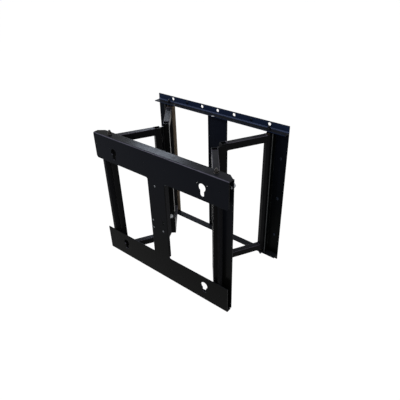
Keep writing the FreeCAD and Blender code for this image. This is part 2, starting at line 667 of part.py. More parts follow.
striker = body_of("latch_striker")
base = drawing_on(striker, "striker_base", "XZ_Plane", "steel")
box_outline(base, "latch_x - striker_half", "latch_x + striker_half", "bar_z - striker_half",
            "bar_z + striker_half")
pad(striker, base, "cheek_thick")
for label, x in (("far", "latch_x - cheek_gap / 2 - cheek_thick"), ("near", "latch_x + cheek_gap / 2")):
    cheek = drawing_on(striker, f"striker_cheek_{label}", "YZ_Plane", x)
    box_outline(cheek, f"{FOLDED_Y} + bar_reach - bar_radius - cheek_thick", "-(steel + cheek_thick / 2)",
                "bar_z - bar_radius - cheek_thick", "bar_z + bar_radius")
    pad(striker, cheek, "cheek_thick")
bar = drawing_on(striker, "striker_bar", "YZ_Plane", "latch_x - cheek_gap / 2 - cheek_thick / 2")
circle(bar, f"{FOLDED_Y} + bar_reach", "bar_z", "bar_radius")
pad(striker, bar, "cheek_gap + cheek_thick")

doc.recompute()

# Every object is sound before anything is written
for item in doc.Objects:
    if "Invalid" in item.State or "Error" in item.State:
        raise RuntimeError(f"{item.Label}: {item.State}")
os.makedirs("parts", exist_ok=True)
for piece in pieces:
    if piece.Shape.isNull() or not piece.Shape.isValid() or not piece.Shape.Solids:
        raise RuntimeError(f"{piece.Label}: unsound shape")
for piece in pieces:
    piece.Shape.exportStep(f"parts/{piece.Label}.step")
    print(piece.Label, len(piece.Shape.Solids), round(piece.Shape.Volume))
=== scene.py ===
import json
import math
import random

import bmesh
import bpy
from mathutils import Matrix, Vector


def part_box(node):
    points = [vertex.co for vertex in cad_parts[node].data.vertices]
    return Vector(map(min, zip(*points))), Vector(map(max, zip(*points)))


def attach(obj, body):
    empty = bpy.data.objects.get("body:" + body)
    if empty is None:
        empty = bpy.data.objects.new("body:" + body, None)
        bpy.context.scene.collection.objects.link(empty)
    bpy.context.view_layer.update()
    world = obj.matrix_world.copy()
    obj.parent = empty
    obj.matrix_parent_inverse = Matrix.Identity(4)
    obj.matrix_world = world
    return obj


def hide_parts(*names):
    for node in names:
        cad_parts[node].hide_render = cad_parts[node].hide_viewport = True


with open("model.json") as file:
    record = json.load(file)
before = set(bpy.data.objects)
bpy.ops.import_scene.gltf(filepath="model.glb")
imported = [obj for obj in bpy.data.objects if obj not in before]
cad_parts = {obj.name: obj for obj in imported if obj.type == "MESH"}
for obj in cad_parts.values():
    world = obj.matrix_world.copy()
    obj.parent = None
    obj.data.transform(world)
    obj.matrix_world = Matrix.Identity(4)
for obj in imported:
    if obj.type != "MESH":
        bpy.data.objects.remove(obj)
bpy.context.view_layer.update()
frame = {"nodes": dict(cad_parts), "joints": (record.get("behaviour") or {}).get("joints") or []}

bl_info = {
    "name": "Pop-out wall mount finish",
    "version": (1, 0, 0),
    "blender": (4, 5, 0),
    "location": "3D View > Sidebar > Wall mount",
    "description": "Coats, hardware, welds and studio of a pop-out wall mount",
    "category": "Object",
}

MM = 0.001
CAD = frame["nodes"]
JOINTS = {joint["name"]: joint for joint in frame["joints"]}


# Places read from the frame
def pivot(joint):
    return Vector(JOINTS[joint]["pos_m"])


FRONT_LEFT = pivot("front_left_hinge")
PIVOT_SPAN = pivot("rear_right_hinge").x - pivot("rear_left_hinge").x
FRONT_RIGHT = FRONT_LEFT + Vector((PIVOT_SPAN, 0, 0))
FRONT_MIDDLE = (FRONT_LEFT + FRONT_RIGHT) / 2
FRONT_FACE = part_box("front_plate")[0].y
LIP_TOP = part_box("front_plate")[1].z
SILL_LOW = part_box("front_plate")[0].z
SHEET = LIP_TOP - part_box("front_upright_left")[1].z
SHELF_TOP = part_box("wall_upright_left")[1].z + SHEET
FLOOR_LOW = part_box("wall_upright_left")[0].z - SHEET
WALL_FACE = -SHEET
GATE_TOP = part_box("rear_left_hinge_tube")[1].z
GATE_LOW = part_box("rear_left_hinge_tube")[0].z
LEVEL_TUBE = GATE_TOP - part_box("rear_left_top_tube")[0].z

# Sizes of a gate that the frame doesn't name, as in the part's source
TUBE = 22 * MM
PIN_REACH = 199 * MM
PIN_OFFSET = 12 * MM
TUBE_END = 185 * MM
ARM_TURN = math.atan2(PIN_OFFSET, PIN_REACH)
GATES = {
    "rear_left": (pivot("rear_left_hinge"), pivot("elbow_left"), -1),
    "front_left": (FRONT_LEFT, pivot("elbow_left"), 1),
    "rear_right": (pivot("rear_right_hinge"), pivot("elbow_right"), 1),
    "front_right": (FRONT_RIGHT, pivot("elbow_right"), -1),
}
GATE_BODY = {"rear_left": "rear_gate_left", "front_left": "front_gate_left",
             "rear_right": "rear_gate_right", "front_right": "front_gate_right"}

# Pivot studs: how far one stands out of its sheet, its thread's radius, how many crests are drawn at most
# and where the first one stands above the nut, in pitches
STUD_STUB = 14 * MM
STUD_THREAD_RADIUS = 4.12 * MM
STUD_CRESTS = 5
FIRST_CREST = 0.4

# Screws: head radius, head height, shank radius and shank length, then places across and up, then the
# seed of the turns that they were left at
WALL_SCREW = (6 * MM, 2.6 * MM, 2.8 * MM, 2.9 * MM)
WEB_SCREW = (3.6 * MM, 1.8 * MM, 1.9 * MM, 4.9 * MM)
RAIL_SCREWS = [(x * MM, z * MM) for x in (-152, 152) for z in (282, -282)]
UPRIGHT_SCREWS = [(x * MM, z * MM) for x in (-284, 284) for z in (-175, -6, 163)]
WEB_SCREWS = [(x * MM, z * MM) for x, z in ((-5, 138), (-28, -8), (-28, -40), (19, -40))]
SCREW_SEED = 7

# Side bolt: its bare tip, the threaded length behind it and the thread's radius
BOLT_TIP = 0.4 * MM
BOLT_THREADED = 3 * MM
BOLT_RADIUS = 3.5 * MM

# Rolled roots of the wall rails: radius, how deep they lie in the rail, steps round and gap at the ends
ROOT_RADIUS = 4 * MM
ROOT_SUNK = 0.1 * MM
ROOT_STEPS = 8
ROOT_END_GAP = 0.2 * MM

# Welds: how deep a bead's middle lies in the metal, how far a gate's ring of weld is drawn in across
# the tube so that two gates fold without touching, where the frames are stitched, in mm where no unit
# is given, and the seeds of the ripples
GATE_WELD_SUNK = 0.3 * MM
GATE_WELD_DRAWN_IN = 0.88
FRAME_WELD_OFF = 0.3 * MM
FRAME_WELD_SUNK = 0.2 * MM
UPRIGHT_SIDES = (258, 261)
UPRIGHT_STITCHES = ((172, 197), (212, 242), (-250, -222), (-200, -168))
LIP_STITCH = (262, 290)
LIP_STITCH_DEPTH = 27.2 * MM
WALL_STITCH_DEPTH = -3.2 * MM
WALL_STITCHES = ((262, 296), (228, 252), (6, 32))
STRIP_STITCH = (258.2, (-22, -6))
GATE_WELD_SEED, FRONT_WELD_SEED, WALL_WELD_SEED = 3, 21, 22

# Coat: how wide its clouds, dust, edge bites, waves, chips and pebbles are, and what shows through it. The
# pebble is 0.8 mm across in life and is drawn at 2 mm, so that it shows
CLOUD, DRIFT, BITE, WAVE, CHIP, PEBBLE = 70 * MM, 25 * MM, 6 * MM, 9 * MM, 2 * MM, 2 * MM
EDGE_RADIUS = 1.1 * MM
PEBBLE_DEPTH = 0.12 * MM
# Tint of the dust on upward faces, which also stands for their painted sheen
DUST_AND_SHEEN_TINT = "#6c7182"
BARE_STEEL = "#c9ccd2"
# Where the painted fold highlight sits, on the way up of the face normal, and how far it fades
FOLD_LEAN, FOLD_FADE = 0.7, (0.3, 0.12)
# How sharp the border is between a front edge and what lies behind it, and beside the plate's fold
FRONT_BORDER, FLANK_BORDER = 0.3 * MM, 0.5 * MM
# Metal: how wide the marks of handling are, and how deep its fine marks
HANDLED = 5 * MM
MARK_DEPTH = 0.05 * MM
MOULD_GRAIN = 0.6 * MM

# Studio: each lamp's way from the mount's middle, distance, size, share of the power and tint, then the
# floor's half width, height, own grey and shine as it is seen, and the air's strength as a light
STUDIO_MIDDLE = Vector((0.02, -0.2, 0))
LAMPS = {
    "lamp_behind": ((-0.64, 0.567, 0.518), 2.93, 0.4, 0.16, (0.76, 0.85, 1.0)),
    "lamp_key": ((-0.545, -0.53, 0.65), 3.0, 0.22, 0.5, (1.0, 0.98, 0.96)),
    "lamp_above": ((0.1, -0.1, 1.0), 3.2, 2.2, 0.35, (1.0, 1.0, 1.0)),
}
FLOOR_SIZE = 40
FLOOR_HEIGHT = -0.9
FLOOR_GREY = (0.1, 0.1, 0.1, 1)
FLOOR_SHINE = 0.93
AIR_LIGHT = 0.75
WHITE = (1, 1, 1, 1)

# Camera solved from the photograph's edges: 40 degrees to the right, 32.4 down, rolled 1.6, and how far
# it stands right of the front frame's middle, before its face and over its lip
CAMERA_YAW, CAMERA_PITCH, CAMERA_ROLL = 0.6985, 0.5662, -0.0272
CAMERA_RIGHT, CAMERA_NEAR, CAMERA_OVER = 0.8922, 0.83394, 0.5916
FOCAL_PIXELS = 419.512
PHOTO_PIXELS = 400
SENSOR = 36


def gate_matrix(name):
    """Where a gate drawn from its hinge axis along +X stands."""
    hinge, elbow, side = GATES[name]
    way = elbow - hinge
    return Matrix.Translation(hinge) @ Matrix.Rotation(math.atan2(way.y, way.x) - side * ARM_TURN, 4, "Z")


# Materials
def linear(hex_text):
    """An sRGB hex colour as linear red, green, blue and alpha."""
    parts = [int(hex_text[place:place + 2], 16) / 255 for place in (1, 3, 5)]
    return (*(part / 12.92 if part <= 0.04045 else ((part + 0.055) / 1.055) ** 2.4 for part in parts), 1.0)


def add(tree, kind, settings=None, inputs=None):
    """A node of that kind with its settings; an input is a value or the socket that it is linked to."""
    made = tree.nodes.new(kind)
    for name, setting in (settings or {}).items():
        setattr(made, name, setting)
    for name, content in (inputs or {}).items():
        socket = made.inputs[name]
        if isinstance(content, bpy.types.NodeSocket):
            tree.links.new(content, socket)
        else:
            socket.default_value = content
    return made


def new_material(name):
    """An empty material and its node tree."""
    material = bpy.data.materials.new(name)
    material.use_nodes = True
    material.node_tree.nodes.clear()
    return material, material.node_tree


def noise(tree, place, grain, detail):
    """Noise with clouds about as wide as the grain."""
    made = add(tree, "ShaderNodeTexNoise", inputs={"Vector": place, "Scale": 1 / grain, "Detail": detail})
    return made.outputs["Fac"]


def ramp(tree, value, low, high, start=0.0, end=1.0):
    """A value carried from one range to another and held at its ends."""
    made = add(tree, "ShaderNodeMapRange", inputs={
        "Value": value, "From Min": low, "From Max": high, "To Min": start, "To Max": end})
    return made.outputs["Result"]


def sum_of(tree, operation, first, second=0.0, clamped=False):
    """The outcome of one sum with two values."""
    made = add(tree, "ShaderNodeMath", {"operation": operation, "use_clamp": clamped},
               {0: first, 1: second})
    return made.outputs[0]


def vector_sum(tree, operation, first, second=(0, 0, 0)):
    """The outcome of one sum with two vectors, as Vector or Value."""
    return add(tree, "ShaderNodeVectorMath", {"operation": operation}, {0: first, 1: second}).outputs


def split(tree, vector):
    """The X, Y and Z of a vector."""
    return add(tree, "ShaderNodeSeparateXYZ", inputs={"Vector": vector}).outputs


def tinted(tree, share, tone, tint):
    """The tone with a share of it changed to a hex colour."""
    made = add(tree, "ShaderNodeMix", {"data_type": "RGBA"},
               {"Factor": share, "A": tone, "B": linear(tint)})
    return made.outputs["Result"]


def fronted(tree, depth_of, tone, tint, depth):
    """The tone, changed to a tint from the given depth forward."""
    return tinted(tree, ramp(tree, depth_of, depth + FRONT_BORDER, depth), tone, tint)


def bumped(tree, strength, distance, height, **base):
    """A normal moved by a height, from the face's own or from the Normal that is given."""
    made = add(tree, "ShaderNodeBump", inputs={
        "Strength": strength, "Distance": distance, "Height": height, **base})
    return made.outputs["Normal"]


def surfaced(tree, inputs):
    """A principled shader as the material's surface."""
    shader = add(tree, "ShaderNodeBsdfPrincipled", inputs=inputs)
    add(tree, "ShaderNodeOutputMaterial", inputs={"Surface": shader.outputs[0]})


def powder_coat(name, base, lit, rubbed_and_lit, gloss, painted_dark_end=None, flank=None, painted_front_light=None, fold=None, nose=None,
                mark=None):
    """Satin polyester powder coat baked on sheet steel: deep black, a fine pebbled skin that breaks up the
    highlight, edges paled by wear and a painted highlight, and a dusting that is also a painted sheen on
    upward faces.
    The options, each drawn over the one before:
    wiped: painted shade, two places along the part between which the pale tint of upward faces sets in
    flank: painted light, a paler tint of faces that look to the right, and the depth of the dark line along
    the fold
    bloom: painted light, a tint of faces that look to the front as if they mirrored light from there,
    and the heights between which it sets in
    fold: a painted highlight, a pale tint where the face leans half way up
    nose: a painted highlight, a pale tint of the sheared front edge, and its depth
    mark: centre and reach of one place where the coat is knocked off"""
    looks = bpy.context.scene.mount_finish
    material, tree = new_material(name)
    place = add(tree, "ShaderNodeTexCoord").outputs["Object"]
    along = split(tree, place)
    facing = add(tree, "ShaderNodeNewGeometry").outputs["Normal"]
    leaning = split(tree, facing)
    tone = tinted(tree, noise(tree, place, CLOUD, 4.0), linear(base), lit)
    # Dust, which also paints a sheen on upward faces, is drawn from the upward part of the face normal,
    # and broken up
    drift = noise(tree, place, DRIFT, 6.0)
    drifted = ramp(tree, drift, 0.3, 0.75, 0.55, 1.0)
    dust_and_sheen = sum_of(tree, "MULTIPLY", ramp(tree, leaning["Z"], 0.6, 1.0), drifted)
    dust_and_sheen = sum_of(tree, "MULTIPLY", dust_and_sheen, looks.dust_and_sheen)
    # Painted shade: the pale tint of upward faces is left out towards one end, so that end stays dark
    if painted_dark_end:
        dust_and_sheen = sum_of(tree, "MULTIPLY", dust_and_sheen, ramp(tree, along["X"], *painted_dark_end))
    tone = tinted(tree, dust_and_sheen, tone, DUST_AND_SHEEN_TINT)
    # Edges are paled partly by wear and partly as a painted highlight, where a rounded normal leaves the
    # flat one
    rounded = add(tree, "ShaderNodeBevel", {"samples": 6}, {"Radius": EDGE_RADIUS}).outputs["Normal"]
    same = vector_sum(tree, "DOT_PRODUCT", rounded, facing)["Value"]
    edge = ramp(tree, same, 0.985, 0.86, 0.0, looks.edge_wear_and_highlight)
    bitten = ramp(tree, noise(tree, place, BITE, 3.0), 0.35, 0.65)
    tone = tinted(tree, sum_of(tree, "MULTIPLY", edge, bitten), tone, rubbed_and_lit)
    # Painted light: faces that look to the right are paler, as if lit from that side, except near the front
    if flank:
        tint, depth = flank
        past = ramp(tree, along["Y"], depth, depth + FLANK_BORDER)
        tone = tinted(tree, sum_of(tree, "MULTIPLY", leaning["X"], past, True), tone, tint)
    # Painted light: faces that look to the front take a tint between two heights, as if lit from there
    if painted_front_light:
        tint, low, high = painted_front_light
        front = sum_of(tree, "MULTIPLY", leaning["Y"], -1.0)
        shown = sum_of(tree, "MULTIPLY", ramp(tree, along["Z"], low, high), front, True)
        tone = tinted(tree, shown, tone, tint)
    # Painted highlight: faces that lean half way up, on folds and rounded edges, are tinted pale
    if fold:
        off = sum_of(tree, "ABSOLUTE", sum_of(tree, "SUBTRACT", leaning["Z"], FOLD_LEAN))
        fold_highlight = sum_of(tree, "MULTIPLY", ramp(tree, off, *FOLD_FADE), drifted)
        tone = tinted(tree, fold_highlight, tone, fold)
    # Painted highlight: a pale line down the sheared front edge
    if nose:
        tone = fronted(tree, along["Y"], tone, *nose)
    bare = 0.0
    if mark:
        centre, reach = mark
        away = vector_sum(tree, "DIVIDE", vector_sum(tree, "SUBTRACT", place, centre)["Vector"], reach)
        far = vector_sum(tree, "LENGTH", away["Vector"])["Value"]
        bare = ramp(tree, sum_of(tree, "ADD", far, noise(tree, place, CHIP, 4.0)), 1.35, 1.25)
        tone = tinted(tree, bare, tone, BARE_STEEL)
    pebble = add(tree, "ShaderNodeTexVoronoi", {"feature": "SMOOTH_F1"},
                 {"Vector": place, "Scale": 1 / PEBBLE, "Smoothness": 0.6})
    skin = add(tree, "ShaderNodeMath", {"operation": "MULTIPLY_ADD"},
               {0: pebble.outputs["Distance"], 1: 0.7, 2: noise(tree, place, WAVE, 2.0)})
    surfaced(tree, {
        "Base Color": tone, "Metallic": bare, "Roughness": ramp(tree, drift, 0.3, 0.7, gloss, gloss + 0.08),
        "Normal": bumped(tree, 0.22, PEBBLE_DEPTH, skin.outputs[0], Normal=rounded),
        "Specular IOR Level": looks.coat_sheen})
    return material


def plain_metal(name, base, stain, rough, grain, lines=(1, 1, 1), black_front=None):
    """Plated or bare metal: a tone blotched by handling, with fine marks along the given direction. A dip,
    where given, turns it to its tint from its depth forward."""
    material, tree = new_material(name)
    place = add(tree, "ShaderNodeTexCoord").outputs["Object"]
    blotch = noise(tree, place, HANDLED, 5.0)
    tone = tinted(tree, ramp(tree, blotch, 0.38, 0.68), linear(base), stain)
    # From the given depth forward the metal is drawn in the dark tint
    if black_front:
        tone = fronted(tree, split(tree, place)["Y"], tone, *black_front)
    stretched = add(tree, "ShaderNodeMapping", inputs={"Vector": place, "Scale": lines}).outputs["Vector"]
    surfaced(tree, {
        "Base Color": tone, "Metallic": 1.0, "Roughness": ramp(tree, blotch, 0.0, 1.0, rough, rough + 0.2),
        "Normal": bumped(tree, 0.25, MARK_DEPTH, noise(tree, stretched, grain, 3.0))})
    return material


def moulded_nylon(name, base):
    """Nylon plug, moulded: dead black with a fine spark-eroded grain."""
    material, tree = new_material(name)
    place = add(tree, "ShaderNodeTexCoord").outputs["Object"]
    surfaced(tree, {
        "Base Color": linear(base), "Roughness": 0.62,
        "Normal": bumped(tree, 0.2, MARK_DEPTH, noise(tree, place, MOULD_GRAIN, 3.0))})
    return material


def material_of(name):
    """A finish made once by name."""
    made = bpy.data.materials.get(name)
    if made:
        return made
    recipes = {
        # Gates: neutral black with a soft sheen, edges paled by wear and painted highlight, and a painted
        # highlight along leaning faces, so their tops turn grey against the light
        "satin_black_coat": lambda: powder_coat(
            name, "#0c0c0d", "#101011", "#3c4250", 0.19, fold="#5a5663"),
        # Front frame: a deeper black that reads nearly flat, with a painted highlight as a fine pale line
        # along its folds, painted light on faces that look right and front, and painted shade at its left
        # end
        "folded_plate_coat": lambda: powder_coat(
            name, "#060606", "#080808", "#2b2d31", 0.19, painted_dark_end=(-240 * MM, -60 * MM),
            flank=("#1b1b1d", FRONT_FACE + 4 * MM), painted_front_light=("#0d0f15", -120 * MM, 200 * MM), fold="#51505d"),
        # Wall frame: the same black coat with a painted blue reflection, strongest where it looks to the
        # front near the top
        "wall_coat_painted_blue": lambda: powder_coat(
            name, "#08090a", "#0b0c0e", "#2b3140", 0.32, painted_front_light=("#0d111b", -50 * MM, 260 * MM)),
        # Uprights: a painted highlight as a pale line down each sheared front edge, and a faint painted
        # blue reflection where they look to the front
        "upright_coat_painted_highlight": lambda: powder_coat(
            name, "#040505", "#070808", "#5b605e", 0.32, painted_front_light=("#080b13", -100 * MM, 260 * MM),
            nose=("#3e4041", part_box("wall_upright_right")[0].y + 0.4 * MM)),
        # Top rail: a bluer painted reflection where it looks to the front, with one knock down to the steel
        # on its shelf's front edge
        "marked_rail_coat": lambda: powder_coat(
            name, "#060708", "#090a0c", "#2b3140", 0.36, painted_front_light=("#151e33", -50 * MM, 260 * MM),
            mark=(Vector((-2 * MM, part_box("wall_top_rail")[0].y, SHELF_TOP)),
                  Vector((9 * MM, 4 * MM, 2 * MM)))),
        # Inner curve of the rolled rails: a painted highlight, a pale blue line coloured in for the light
        # it catches
        "root_coat_painted_highlight": lambda: powder_coat(name, "#262f47", "#303a54", "#4a5266", 0.34),
        # Left strip: dull brown primer that never got its black coat, with painted light that turns its
        # front face a lighter tan
        "brown_primer": lambda: powder_coat(
            name, "#574d42", "#685d50", "#7a6f62", 0.6, painted_front_light=("#b3a28d", -1100 * MM, 500 * MM)),
        # Front nuts, studs and latch: dark zinc, smoked and oily
        "dark_zinc_plate": lambda: plain_metal(name, "#4c4a49", "#24211f", 0.34, 0.8 * MM),
        # Wall nuts and studs: coated with the frame, so they are nearly as dark as it is
        "coated_zinc_plate": lambda: plain_metal(name, "#1c1e25", "#101115", 0.4, 0.8 * MM),
        # Pawl: bright zinc hook, its tail drawn black from a depth forward so that it doesn't shine through
        # the release slot
        "black_tailed_zinc_plate": lambda: plain_metal(
            name, "#b9bcc0", "#84878c", 0.3, 1.2 * MM, (1, 0.2, 1), ("#1c1d20", FRONT_FACE + 14 * MM)),
        # Side bolt: bright zinc plate, pale grey with a soft bloom
        "bright_zinc_plate": lambda: plain_metal(name, "#b9bcc0", "#84878c", 0.3, 1.2 * MM, (1, 0.2, 1)),
        # Web screws: the same zinc gone dull, each a small grey dot
        "dull_zinc_plate": lambda: plain_metal(name, "#7a7d82", "#505358", 0.4, 0.6 * MM),
        # Spacers and washers: sintered bronze, oil brown
        "oiled_bronze": lambda: plain_metal(name, "#3a3229", "#241f19", 0.45, 0.7 * MM),
        # Rail and upright screws: zinc plate gone blue-grey, so each reads as a small cold fleck
        "blued_zinc_plate": lambda: plain_metal(name, "#262c38", "#1a1e27", 0.36, 0.6 * MM),
        # Latch spring: bare drawn wire with marks along its turns
        "drawn_spring_wire": lambda: plain_metal(name, "#8c8e92", "#5a5b5e", 0.25, 0.5 * MM, (0.2, 1, 1)),
        # Bushes: moulded nylon
        "spark_grained_nylon": lambda: moulded_nylon(name, "#0d0d0e"),
    }
    return recipes[name]()


def dress(nodes, name):
    """Give CAD nodes their finish through their own material slots."""
    for label in nodes:
        for slot in CAD[label].material_slots:
            slot.material = material_of(name)


# Meshes
def stood(name, data):
    """A new object in the scene."""
    made = bpy.data.objects.new(name, data)
    bpy.context.scene.collection.objects.link(made)
    return made


def meshed(name, shape):
    """A mesh made from a bmesh, which is freed."""
    mesh = bpy.data.meshes.new(name)
    shape.to_mesh(mesh)
    shape.free()
    return mesh


def shaded(mesh, angle=math.radians(35)):
    """The mesh, smooth but for edges sharper than the angle."""
    for face in mesh.polygons:
        face.use_smooth = True
    mesh.set_sharp_from_angle(angle=angle)
    return mesh


def turned(name, rings, steps, closed):
    """A turned mesh. Each ring gives its radius and height at an angle; a closed mesh joins the last to
    the first."""
    shape = bmesh.new()
    loops = []
    for ring in rings:
        spots = [(2 * math.pi * step / steps, *ring(2 * math.pi * step / steps)) for step in range(steps)]
        loops.append([shape.verts.new((radius * math.cos(turn), radius * math.sin(turn), height))
                      for turn, radius, height in spots])
    for low, high in zip(loops, loops[1:] + (loops[:1] if closed else [])):
        for step in range(steps):
            after = (step + 1) % steps
            shape.faces.new((low[step], low[after], high[after], high[step]))
    if not closed:
        shape.faces.new(list(reversed(loops[0])))
        shape.faces.new(loops[-1])
    bmesh.ops.recalc_face_normals(shape, faces=shape.faces)
    return shaded(meshed(name, shape))


def circle_ring(radius, height):
    return lambda turn: (radius, height)


def hex_reach(turn, flats):
    """How far a six-sided outline reaches at an angle."""
    return flats / 2 / math.cos((turn + math.pi / 6) % (math.pi / 3) - math.pi / 6)


def hex_ring(flats, height):
    return lambda turn: (hex_reach(turn, flats), height)


def chamfer_ring(flats, top, crown):
    """The edge where a 30 degree chamfer that starts at the crown's radius meets the six flats."""
    return lambda turn: (hex_reach(turn, flats),
                         top - (hex_reach(turn, flats) - crown) * math.tan(math.radians(30)))


def flange_nut():
    """Six-sided nut with a flange, chamfered on top and in its bore."""
    looks = bpy.context.scene.mount_sizes
    flats, top, flange, bore = looks.nut_flats, looks.nut_height, looks.flange_radius, looks.nut_bore
    crown = 0.97 * flats / 2
    flange_edge, flange_rim, flange_top = 0.3 * MM, 0.9 * MM, 1.5 * MM
    hex_foot, bore_chamfer = 1.8 * MM, 0.6 * MM
    return turned("flange_nut_shape", [
        circle_ring(bore, 0), circle_ring(flange - flange_edge, 0), circle_ring(flange, flange_edge),
        circle_ring(flange, flange_rim), circle_ring(flange - flange_rim, flange_top),
        hex_ring(flats, hex_foot), chamfer_ring(flats, top, crown), circle_ring(crown, top),
        circle_ring(bore + bore_chamfer, top), circle_ring(bore, top - bore_chamfer)], 48, True)


def domed_screw(name, radius, height, shank, length):
    """Pan head screw with a cross recess; its head sits on the plane z = 0 and its shank runs down."""
    rim = 0.35
    arm_length, arm_width, arm_lift = 1.15 * radius, 0.24 * radius, 0.95 * height
    rings = [circle_ring(shank, -length), circle_ring(shank, 0), circle_ring(radius, 0),
             circle_ring(radius, rim * height)]
    for share in (0.25, 0.5, 0.75, 0.93):
        angle = share * math.pi / 2
        rings.append(circle_ring(radius * math.cos(angle), height * (rim + (1 - rim) * math.sin(angle))))
    cross = bmesh.new()
    for turn in (0, math.pi / 2):
        arm = bmesh.ops.create_cube(cross, size=1)["verts"]
        bmesh.ops.scale(cross, vec=(arm_length, arm_width, height), verts=arm)
        bmesh.ops.rotate(cross, cent=(0, 0, 0), matrix=Matrix.Rotation(turn, 3, "Z"), verts=arm)
        bmesh.ops.translate(cross, vec=(0, 0, arm_lift), verts=arm)
    body = stood(name + "_body", turned(name + "_shape", rings, 24, False))
    tool = stood(name + "_cross", meshed(name + "_arms", cross))
    cut = body.modifiers.new("recess", "BOOLEAN")
    cut.object, cut.operation, cut.solver, cut.use_self = tool, "DIFFERENCE", "EXACT", True
    mesh = bpy.data.meshes.new_from_object(body.evaluated_get(bpy.context.evaluated_depsgraph_get()))
    for used in (body, tool):
        bpy.data.objects.remove(used)
    return shaded(mesh)


def thread_crest(radius, pitch):
    """One crest of a thread, to be repeated along a stud."""
    root, crest_half = radius - 0.45 * pitch, 0.12 * pitch
    return turned("thread_crest_shape", [
        circle_ring(root, -pitch / 2), circle_ring(radius, -crest_half),
        circle_ring(radius, crest_half), circle_ring(root, pitch / 2)], 24, False)


# Node trees that repeat a shape
def geometry_tree(name, sockets):
    """A geometry tree with its sockets, and the outputs of its input node."""
    tree = bpy.data.node_groups.new(name, "GeometryNodeTree")
    for label, kind in {"Geometry": "Geometry", **sockets, "Finish": "Material"}.items():
        tree.interface.new_socket(label, in_out="INPUT", socket_type="NodeSocket" + kind)
    tree.interface.new_socket("Geometry", in_out="OUTPUT", socket_type="NodeSocketGeometry")
    return tree, add(tree, "NodeGroupInput").outputs


def painted(tree, geometry, given):
    """The tree's result: the geometry in the given finish."""
    last = add(tree, "GeometryNodeSetMaterial", inputs={"Geometry": geometry, "Material": given["Finish"]})
    add(tree, "NodeGroupOutput", inputs={"Geometry": last.outputs["Geometry"]})
    return tree


def repeat_tree():
    """Copies of one shape, standing at the points and turned by each point's facing."""
    made = bpy.data.node_groups.get("repeat_on_points")
    if made:
        return made
    tree, given = geometry_tree("repeat_on_points", {"Shape": "Object"})
    shape = add(tree, "GeometryNodeObjectInfo", inputs={"Object": given["Shape"]})
    points = add(tree, "GeometryNodeMeshToPoints", inputs={"Mesh": given["Geometry"]})
    facing = add(tree, "GeometryNodeInputNamedAttribute", {"data_type": "FLOAT_VECTOR"}, {"Name": "facing"})
    turn = add(tree, "FunctionNodeEulerToRotation", inputs={"Euler": facing.outputs["Attribute"]})
    copies = add(tree, "GeometryNodeInstanceOnPoints", inputs={
        "Points": points.outputs["Points"], "Instance": shape.outputs["Geometry"],
        "Rotation": turn.outputs["Rotation"]})
    real = add(tree, "GeometryNodeRealizeInstances", inputs={"Geometry": copies.outputs["Instances"]})
    return painted(tree, real.outputs["Geometry"], given)


def weld_tree():
    """A run of overlapping weld ripples along each curve, uneven from one ripple to the next."""
    made = bpy.data.node_groups.get("weld_run")
    if made:
        return made
    tree, given = geometry_tree("weld_run", {"Spacing": "Float", "Bead radius": "Float", "Seed": "Int"})
    steps = add(tree, "GeometryNodeCurveToPoints", {"mode": "LENGTH"}, {
        "Curve": given["Geometry"], "Length": given["Spacing"]})
    ripple = add(tree, "GeometryNodeMeshUVSphere", inputs={
        "Segments": 8, "Rings": 5, "Radius": given["Bead radius"]})
    smallest, largest = (0.8, 0.8, 0.9), (1.1, 1.15, 1.35)
    uneven = add(tree, "FunctionNodeRandomValue", {"data_type": "FLOAT_VECTOR"}, {
        0: smallest, 1: largest, "Seed": given["Seed"]})
    copies = add(tree, "GeometryNodeInstanceOnPoints", inputs={
        "Points": steps.outputs["Points"], "Instance": ripple.outputs["Mesh"],
        "Rotation": steps.outputs["Rotation"], "Scale": uneven.outputs["Value"]})
    real = add(tree, "GeometryNodeRealizeInstances", inputs={"Geometry": copies.outputs["Instances"]})
    soft = add(tree, "GeometryNodeSetShadeSmooth", inputs={"Geometry": real.outputs["Geometry"]})
    return painted(tree, soft.outputs["Geometry"], given)


def grown(name, data, tree, inputs, body):
    """The plain mesh that a node tree makes of a mesh or curve, riding on one body."""
    base = stood(name + "_base", data)
    modifier = base.modifiers.new("tree", "NODES")
    modifier.node_group = tree
    for socket in tree.interface.items_tree:
        if socket.in_out == "INPUT" and socket.name in inputs:
            modifier[socket.identifier] = inputs[socket.name]
    mesh = bpy.data.meshes.new_from_object(base.evaluated_get(bpy.context.evaluated_depsgraph_get()))
    if not mesh.polygons:
        raise RuntimeError(f"{name} came out empty")
    mesh.name = name
    bpy.data.objects.remove(base)
    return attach(stood(name, mesh), body)


def repeated(name, shape_mesh, places, finish, body, stands_for=()):
    """One shape at several places, each a matrix, as a single piece."""
    shape = stood(name + "_shape", shape_mesh)
    points = bpy.data.meshes.new(name + "_points")
    points.from_pydata([place.translation for place in places], [], [])
    facing = points.attributes.new("facing", "FLOAT_VECTOR", "POINT")
    for number, place in enumerate(places):
        facing.data[number].vector = place.to_euler()
    piece = grown(name, points, repeat_tree(), {"Shape": shape, "Finish": material_of(finish)}, body)
    bpy.data.objects.remove(shape)
    if stands_for:
        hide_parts(*stands_for)


def welded(name, runs, finish, body, seed):
    """Weld beads along runs of points."""
    sizes = bpy.context.scene.mount_sizes
    curve = bpy.data.curves.new(name + "_runs", "CURVE")
    curve.dimensions = "3D"
    for run in runs:
        spline = curve.splines.new("POLY")
        spline.points.add(len(run) - 1)
        for point, spot in zip(spline.points, run):
            point.co = (*spot, 1)
    piece = grown(name, curve, weld_tree(), {
        "Spacing": sizes.weld_spacing, "Bead radius": sizes.weld_radius, "Seed": seed,
        "Finish": material_of(finish)}, body)


def standing(spot, up=True):
    """A place on a level face, upright or upside down."""
    return Matrix.Translation(spot) @ (Matrix() if up else Matrix.Rotation(math.pi, 4, "X"))


